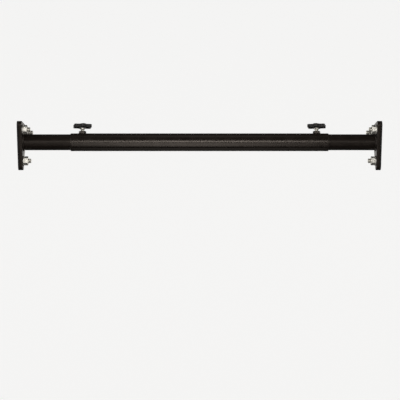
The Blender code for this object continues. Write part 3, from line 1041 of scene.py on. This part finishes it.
@dataclass
class LockKnob(EndAssembly):
    """The star knob with its screw, bush and cap, and the clamp pad under the screw."""

    x: float = 250.3 * MM
    turn: float = radians(18.5)
    lobes: int = 6
    ring: float = 16 * MM
    lobe: float = 5 * MM
    valley: float = 6 * MM
    base: float = 31.3 * MM
    top: float = 38.3 * MM
    edge: float = 0.8 * MM
    hub: float = 10.5 * MM
    hub_top: float = 39.2 * MM
    boss: float = 8.2 * MM
    bore: float = 4.2 * MM
    cap: float = 8.6 * MM
    cap_top: float = 39.6 * MM
    screw_tip: float = 19.6 * MM
    head_base: float = 33.2 * MM
    head_top: float = 38.0 * MM
    head_flats: float = 13 * MM
    screw: Thread = Thread(4 * MM, 1.25 * MM)
    lead: float = 0.4 * MM
    hollow: float = 3.0 * MM
    rim_wall: float = 1.5 * MM
    dish: float = 0.7 * MM
    seat_depth: float = 1.0 * MM
    arc_points: int = 20
    cap_steps: int = 96
    bush_steps: int = 64
    bush: float = 5.5 * MM
    bush_bore: float = 3.9 * MM
    bush_base: float = 28.0 * MM
    bush_top: float = 31.35 * MM

    def knob(self) -> Surface:
        """The star, as rings from the screw's socket, over the underside, rim and top, to the cap's seat.

        A rim ring is the outline inset by an amount. A round ring has the same polar angles as the outline.
        Rings between them are blends of the two, with a share of 0 on the outline and 1 on the round ring.

        Returns:
            The surface, closed at the axis above and below.
        """
        outline = Outline.star(self.lobes, self.ring, self.lobe, self.valley, self.arc_points)
        angle = np.arctan2(outline.points[:, 1], outline.points[:, 0])
        way = ways(angle)
        rings, heights, wear = [], [], []

        def place(points: Array, height: float, worn: float = 0.0) -> None:
            """Adds a ring."""
            rings.append(points)
            heights.append(height)
            wear.append(worn)

        for radius, height in (
            (0.0, self.head_base),
            (self.bore, self.head_base),
            (self.bore, self.base + self.lead),
            (self.bore + self.lead, self.base),
            (self.boss - 0.3 * MM, self.base),
            (self.boss, self.base + 0.3 * MM),
            (self.boss + 0.15 * MM, self.base + self.hollow - 0.4 * MM),
            (self.boss + 0.6 * MM, self.base + self.hollow),
        ):
            place(way * radius, height)
        wall = self.edge + self.rim_wall
        place(outline.inset(wall + 0.5 * MM), self.base + self.hollow)
        place(outline.inset(wall + 0.1 * MM), self.base + self.hollow - 0.4 * MM)
        place(outline.inset(wall), self.base + 0.2 * MM)
        place(outline.inset(wall - 0.2 * MM), self.base)
        turns = np.linspace(0.0, pi / 2, 7)
        for turn in turns:
            rise = self.edge * (1 - cos(turn))
            place(outline.inset(self.edge * (1 - sin(turn))), self.base + rise, 0.5 + 0.3 * sin(turn))
        side = self.top - self.base - 2 * self.edge
        for share in (0.3, 0.7):
            place(outline.points, self.base + self.edge + share * side, 0.35)
        for turn in turns[::-1]:
            drop = self.edge * (1 - cos(turn))
            place(outline.inset(self.edge * (1 - sin(turn))), self.top - drop, 0.7 + 0.3 * sin(turn))
        inner = outline.inset(self.edge)
        foot = way * (self.hub + self.dish)
        for share in np.linspace(0.15, 1.0, 8):
            dip = self.dish * sin(pi / 2 * min(1.0, share * 1.4)) ** 2
            place(inner * (1 - share) + foot * share, self.top - dip, 0.2)
        for radius, height, worn in (
            (self.hub + 0.25 * MM, self.top - 0.45 * MM, 0.1),
            (self.hub, self.top + 0.1 * MM, 0.1),
            (self.hub - 0.1 * MM, self.hub_top - 0.5 * MM, 0.6),
            (self.hub - 0.25 * MM, self.hub_top - 0.15 * MM, 1.0),
            (self.hub - 0.6 * MM, self.hub_top, 0.8),
            (self.cap + 0.4 * MM, self.hub_top, 0.5),
            (self.cap + 0.15 * MM, self.hub_top - 0.25 * MM, 0.2),
            (self.cap + 0.15 * MM, self.hub_top - self.seat_depth, 0.0),
            (0.0, self.hub_top - self.seat_depth, 0.0),
        ):
            place(way * radius, height, worn)
        flat = np.stack(rings)
        level = np.broadcast_to(np.array(heights)[:, None, None], (*flat.shape[:2], 1))
        return Surface.grid(np.concatenate((flat, level), axis=-1), np.array(wear)[:, None])

    def build(self) -> None:
        """Shapes the pieces, and turns the star to where it stands in use."""
        screw = self.screw.rod(self.screw_tip, self.head_base, 0.9 * MM, 0.0)
        head = hexagon(self.head_flats, self.head_base, self.head_top, 0.0)
        ring = [
            (self.bush_bore, self.bush_base, 0.4 * MM),
            (self.bush, self.bush_base, 0.4 * MM),
            (self.bush, self.bush_top, 0.2 * MM),
            (self.bush_bore, self.bush_top, 0.1 * MM),
        ]
        low = self.hub_top - 0.95 * MM
        dome = np.linspace(0.0, 1.0, 14)[:, None]
        groove = 0.22 * MM * np.exp(-(((dome - 0.74) / 0.035) ** 2))
        over = np.hstack((dome * (self.cap - 0.3 * MM), self.cap_top - 0.35 * MM * dome**2 - groove))
        under = np.array([(self.cap, self.cap_top - 0.75 * MM), (self.cap, low), (0.0, low)])
        worn = np.append(dome[:, 0] * 0.4, [0.5, 0.0, 0.0])
        cap = turning(np.vstack((over, under)), self.cap_steps, worn, closed=False)
        shapes = {
            "lock_screw": Surface.joined([screw, head]),
            "knob_bush": turning(softened(ring), self.bush_steps, 0.3),
            "star_knob": self.knob(),
            "knob_cap": cap,
        }
        sign = self.side.value
        for piece, surface in shapes.items():
            placed = surface.turned(self.turn * sign).moved((sign * self.x, 0.0, 0.0))
            self.add(piece, placed, self.named("knob"))

    def dress(self) -> None:
        """Finishes the pieces, and the brass pad that keeps its own shape."""
        self.paint(Finish.ZINC, "lock_screw", "knob_bush")
        self.paint(Finish.KNOB, "star_knob")
        self.paint(Finish.CAP, "knob_cap")
        dress_node(self.named("clamp_pad"), Finish.BRASS)


@dataclass
class SlidingArm(EndAssembly):
    """The tube that slides in the grip, with its glide plug and the weld that joins it to the flange."""

    inner_x: float = 95.4 * MM
    tube: Tube = Tube(280 * MM, 17 * MM, 1.5 * MM, 0.5 * MM, 128)
    weld_leg: float = 2.3 * MM
    ripples: int = 54
    steps: int = 648

    def weld(self) -> Surface:
        """The weld, a rippled bead round the tube's outer end.

        At angle a and share t across, the bead leaves the tube at a leg's length from the plate and reaches
        the plate a leg's length from the tube. The straight line between the two swells outwards by a sine
        over t, and the ripples, whose crests lag at the middle, take their share from the swelling and from
        both legs.

        Returns:
            The surface, a closed ring about Z whose plate is at height 0.
        """
        angle = np.arange(self.steps)[None, :] * 2 * pi / self.steps
        share = np.linspace(0.0, 1.0, 10)[:, None]
        lag = 0.5 * (1 - (2 * share - 1) ** 2)
        beat = angle / (2 * pi) * self.ripples + 0.25 * np.sin(angle * 5) + lag
        ripple = (beat % 1.0 - 0.5) ** 2 * 4
        leg = self.weld_leg * (1 - 0.07 * ripple) * (1 + 0.04 * np.sin(angle * 3 + 1.0))
        leg = np.minimum(leg, self.weld_leg)
        swell = 0.3 * MM * np.sin(pi * share) * (1 - 0.55 * ripple)
        radius = self.tube.radius - 0.1 * MM + leg * share + swell
        height = -leg * (1 - share) - swell
        radius = np.vstack((radius, radius[-1:], radius[:1]))
        height = np.vstack((height, 0 * height[:1] + 0.35 * MM, 0 * height[:1] + 0.35 * MM))
        return Surface.grid(polar(radius, angle, height), 0.0, loop_rows=True)

    def build(self) -> None:
        """Shapes the tube, drawn out over the solids' gap to touch the plate, and the weld."""
        shapes = {
            "arm_tube": self.tube.surface(self.inner_x, GAP),
            "flange_weld": self.weld().moved((0.0, 0.0, self.inner_x + self.tube.length)),
        }
        for piece, surface in shapes.items():
            self.add(piece, surface.along_x().on_side(self.side), self.named("arm"))

    def dress(self) -> None:
        """Coats the pieces, and finishes the nylon plug that keeps its own shape."""
        self.paint(Finish.ARM_COAT, "arm_tube")
        self.paint(Finish.WELD_COAT, "flange_weld")
        dress_node(self.named("glide_plug"), Finish.NYLON)


@dataclass
class WallFlange(EndAssembly):
    """The flange plate and its rubber pad."""

    anchors: dict[str, tuple[float, float]]
    corners: tuple[tuple[float, float, float], ...] = (
        (-30 * MM, 32 * MM, 9 * MM),
        (30 * MM, 32 * MM, 9 * MM),
        (0.0, -50 * MM, 10 * MM),
    )
    plate_inner: float = 375.7 * MM
    plate_outer: float = 382.7 * MM
    pad_outer: float = 386 * MM
    hole: float = 5.5 * MM
    lead: float = 0.4 * MM
    edge: float = 0.8 * MM
    rib_spacing: float = 6 * MM
    groove_depth: float = 0.7 * MM
    rim_points: int = 360
    lip: float = 1.2 * MM
    fade: float = 2.0 * MM

    def slab(self, inner: float, outer: float, edge: float, hole: float, grooves: bool) -> Surface:
        """A plate in the flange's outline, between two places along the bar.

        Args:
            inner: X of the face towards the room.
            outer: X of the face towards the wall.
            edge: Radius of its rounded edges.
            hole: Radius of its bolt holes.
            grooves: Whether the face towards the wall has grooves.

        Returns:
            The surface.
        """
        outline = Outline.round_circles(self.corners, self.rim_points)
        thickness = outer - inner
        holes = [(y * self.side.value, z, hole) for y, z in self.anchors.values()]
        openings = [circle_points((y, z), radius + self.lead, HOLE_POINTS) for y, z, radius in holes]
        pieces = [edge_band(outline, thickness, edge), *hole_walls(holes, thickness, self.lead)]
        for height, grooved in ((-thickness / 2, False), (thickness / 2, grooves)):
            spots, sink = self.grooves(outline, holes, edge) if grooved else (None, None)
            pieces.append(sheet_between(outline.inset(edge), openings, height, spots, sink))
        return Surface.joined(pieces).moved((0.0, 0.0, (inner + outer) / 2)).along_x()

    def grooves(
        self, outline: Outline, holes: Sequence[tuple[float, float, float]], edge: float
    ) -> tuple[Array, Array]:
        """Points of upright V grooves in a face, and how deep each is.

        The grooves stand at even spaces across the face. They fade out within 3 mm of the rim and of each
        hole, so that these keep an unbroken lip.

        Args:
            outline: The face's outline.
            holes: X, Y and radius of each hole.
            edge: Radius of its rounded edges.

        Returns:
            The points and their depths.
        """
        across = np.array([(-0.9 * MM, 0.0), (-0.4 * MM, 1.0), (0.4 * MM, 1.0), (0.9 * MM, 0.0)])
        columns, rows = np.arange(-6, 7) * self.rib_spacing, np.arange(-62, 43, 2.5) * MM
        y, z = np.meshgrid(columns, rows, indexing="ij")
        placed = np.broadcast_arrays(y[..., None] + across[:, 0], z[..., None])
        spots = np.stack(placed, axis=-1).reshape(-1, 2)
        deep = np.broadcast_to(across[:, 1], (*y.shape, len(across))).reshape(-1)
        reach = np.sum((outline.points[None] - spots[:, None]) * outline.normals[None], axis=-1)
        inside = np.min(reach, axis=1) - edge
        for x, height, radius in holes:
            away = np.hypot(spots[:, 0] - x, spots[:, 1] - height) - radius - self.lead
            inside = np.minimum(inside, away)
        kept = inside > self.lip
        share = np.clip((inside[kept] - self.lip) / self.fade, 0.0, 1.0)
        return spots[kept], deep[kept] * share * self.groove_depth

    def build(self) -> None:
        """Shapes the plate and the pad."""
        plate = self.slab(self.plate_inner, self.plate_outer, self.edge, self.hole, False)
        pad = self.slab(self.plate_outer, self.pad_outer, self.edge / 2, self.hole, True)
        for piece, surface in (("flange_plate", plate), ("wall_pad", pad)):
            self.add(piece, surface.on_side(self.side), self.named("arm"))

    def dress(self) -> None:
        """Coats the plate and gives the pad its rubber."""
        self.paint(Finish.FLANGE_COAT, "flange_plate")
        self.paint(Finish.RUBBER, "wall_pad")


@dataclass
class Anchor(EndAssembly):
    """One of a flange's three wall anchors: a threaded stud, a washer and a nut."""

    corner: str
    y: float
    z: float
    turn: float
    tip: float = 359.2 * MM
    end: float = 386 * MM
    stud: float = 5 * MM
    pitch: float = 1.5 * MM
    washer: float = 10.5 * MM
    washer_face: float = 373.4 * MM
    washer_steps: int = 96
    seat: float = 375.7 * MM
    across_flats: float = 17 * MM
    nut_face: float = 365.1 * MM

    def build(self) -> None:
        """Shapes the three pieces."""
        bore = self.stud - 0.15 * MM
        ring = [
            (bore, self.washer_face, 0.1 * MM),
            (self.washer, self.washer_face, 0.45 * MM),
            (self.washer, self.seat, 0.25 * MM),
            (bore, self.seat, 0.1 * MM),
        ]
        nut = hexagon(self.across_flats, self.nut_face, self.washer_face, bore)
        shapes = {
            "stud": Thread(self.stud, self.pitch).rod(self.tip, self.end, 1.1 * MM, 0.0, HOLE_POINTS),
            "washer": turning(softened(ring), self.washer_steps, 0.3),
            "nut": nut.turned(pi / 2 + self.turn),
        }
        for kind, surface in shapes.items():
            placed = surface.along_x().moved((0.0, self.y * self.side.value, self.z)).on_side(self.side)
            self.add(f"{self.corner}_{kind}", placed, self.named("arm"))

    def dress(self) -> None:
        """Plates the pieces with zinc."""
        self.paint(Finish.ZINC, *self.pieces)


# Studio


@dataclass(frozen=True)
class SoftLight:
    """An area light that faces the bar."""

    name: str
    azimuth: float
    elevation: float
    distance: float
    width: float
    height: float
    power: float
    colour: tuple[float, float, float] = (1.0, 0.97, 0.93)

    def build(self) -> None:
        """Adds the light, unseen by the camera."""
        lamp = bpy.data.lights.new(self.name, "AREA")
        lamp.shape = "ELLIPSE"
        lamp.size = self.width
        lamp.size_y = self.height
        lamp.energy = self.power
        lamp.color = self.colour
        obj = bpy.data.objects.new(self.name, lamp)
        around, up = radians(self.azimuth), radians(self.elevation)
        place = Vector((sin(around) * cos(up), -cos(around) * cos(up), sin(up))) * self.distance
        obj.location = place
        obj.rotation_euler = place.to_track_quat("Z", "Y").to_euler()
        obj.visible_camera = False
        bpy.context.scene.collection.objects.link(obj)


@dataclass(frozen=True)
class Studio:
    """The pale backdrop, the lights and the camera."""

    radius: float = 6.0
    floor: float = -1.95
    wall_top: float = 3.2
    fillet: float = 1.2
    backdrop: Colour = (0.80, 0.80, 0.80, 1.0)
    glow: float = 0.80
    glow_colour: Colour = (1.0, 1.0, 0.995, 1.0)
    world: Colour = (0.62, 0.62, 0.62, 1.0)
    world_strength: float = 0.06
    camera_place: tuple[float, float, float] = (0.001, -2.70, -0.403)
    camera_pitch: float = 5.9
    lens: float = 114.85
    lights: tuple[SoftLight, ...] = (
        SoftLight("key_light", 0.0, 4.0, 2.9, 1.05, 0.6, 11.0),
        SoftLight("front_fill", -2.0, -36.0, 3.0, 0.75, 3.4, 13.0),
        SoftLight("left_window", -23.5, -4.0, 3.0, 0.95, 2.0, 9.0),
        SoftLight("right_window", 24.0, -4.0, 3.0, 0.9, 2.0, 5.0),
        SoftLight("floor_bounce", 180.0, -76.0, 1.8, 1.0, 0.9, 0.8),
        SoftLight("ceiling_bounce", 0.0, 74.0, 2.4, 0.7, 1.4, 0.8),
        SoftLight("back_light", 180.0, 1.0, 3.2, 1.6, 2.0, 10.0),
        SoftLight("left_front_light", -52.0, 20.0, 3.0, 1.5, 1.6, 24.0),
        SoftLight("right_front_light", 52.0, 20.0, 3.0, 1.5, 1.6, 22.0),
        SoftLight("left_side_light", -92.0, 4.0, 3.0, 1.6, 2.4, 4.5),
        SoftLight("right_side_light", 92.0, 4.0, 3.0, 1.6, 2.4, 4.5),
        SoftLight("left_back_light", -138.0, 4.0, 3.2, 1.5, 2.6, 22.0),
        SoftLight("right_back_light", 138.0, 4.0, 3.2, 1.5, 2.6, 22.0),
    )

    def build(self) -> None:
        """Sets up the studio."""
        bpy.context.scene.view_settings.view_transform = "Standard"
        self.build_backdrop()
        self.build_world()
        for light in self.lights:
            light.build()
        self.build_camera()

    def build_backdrop(self) -> None:
        """A round floor that curves up into a wall, softly lit from within."""
        turn = np.linspace(0.0, pi / 2, 12)
        curve_x = self.radius - self.fillet + self.fillet * np.sin(turn)
        curve_z = self.floor + self.fillet * (1 - np.cos(turn))
        flat = np.array([(0.0, self.floor), (self.radius * 0.3, self.floor), (self.radius * 0.6, self.floor)])
        wall = np.array([(self.radius, self.floor + self.radius * 0.4), (self.radius, self.wall_top)])
        profile = np.vstack((flat, np.stack((curve_x, curve_z), axis=1), wall))
        surface = turning(profile, 96, closed=False)
        mesh = bpy.data.meshes.new("backdrop")
        mesh.from_pydata(surface.points.tolist(), [], surface.faces)
        mesh.shade_smooth()
        sheet = Sheet("backdrop_paper")
        sheet.link(Normal=sheet.grain(3.0, 5.0, 0.3, 0.2 * MM, 0.5))
        sheet.fixed(Base_Color=self.backdrop, Roughness=0.9)
        sheet.fixed(Emission_Color=self.glow_colour, Emission_Strength=self.glow)
        mesh.materials.append(sheet.material)
        obj = bpy.data.objects.new("backdrop", mesh)
        obj.visible_glossy = False
        obj.visible_diffuse = False
        bpy.context.scene.collection.objects.link(obj)

    def build_world(self) -> None:
        """An even, dim surround."""
        world = bpy.data.worlds.new("surround")
        world.use_nodes = True
        ground = world.node_tree.nodes["Background"]
        ground.inputs["Color"].default_value = self.world
        ground.inputs["Strength"].default_value = self.world_strength
        bpy.context.scene.world = world

    def build_camera(self) -> None:
        """The camera, a little below the bar and tilted up to it."""
        lens = bpy.data.cameras.new("camera")
        lens.lens = self.lens
        lens.sensor_width = 36.0
        camera = bpy.data.objects.new("camera", lens)
        camera.location = self.camera_place
        camera.rotation_euler = (radians(90 + self.camera_pitch), 0.0, 0.0)
        bpy.context.scene.collection.objects.link(camera)
        bpy.context.scene.camera = camera


ANCHORS = {"top_front": (-22 * MM, 24 * MM), "top_rear": (22 * MM, 24 * MM), "bottom": (0.0, -40 * MM)}
NUT_TURNS = {"top_front": 0.0, "top_rear": radians(4), "bottom": radians(-3)}


def main() -> None:
    """Builds and dresses every sub-assembly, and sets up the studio."""
    logging.basicConfig(level=logging.INFO, format="%(name)s: %(message)s")
    for build_group in (build_grain, build_mottle, build_edge_wear, build_scratches, build_dust):
        build_group()
    assemblies: list[Assembly] = [GripTube()]
    for side in Side:
        assemblies += [LockNut(side), LockKnob(side), SlidingArm(side), WallFlange(side, ANCHORS)]
        assemblies += [Anchor(side, corner, y, z, NUT_TURNS[corner]) for corner, (y, z) in ANCHORS.items()]
    for assembly in assemblies:
        assembly.build()
        assembly.dress()
        LOG.info("%s: %d pieces", type(assembly).__name__, len(assembly.pieces))
    Studio().build()


if __name__ == "__main__":
    main()
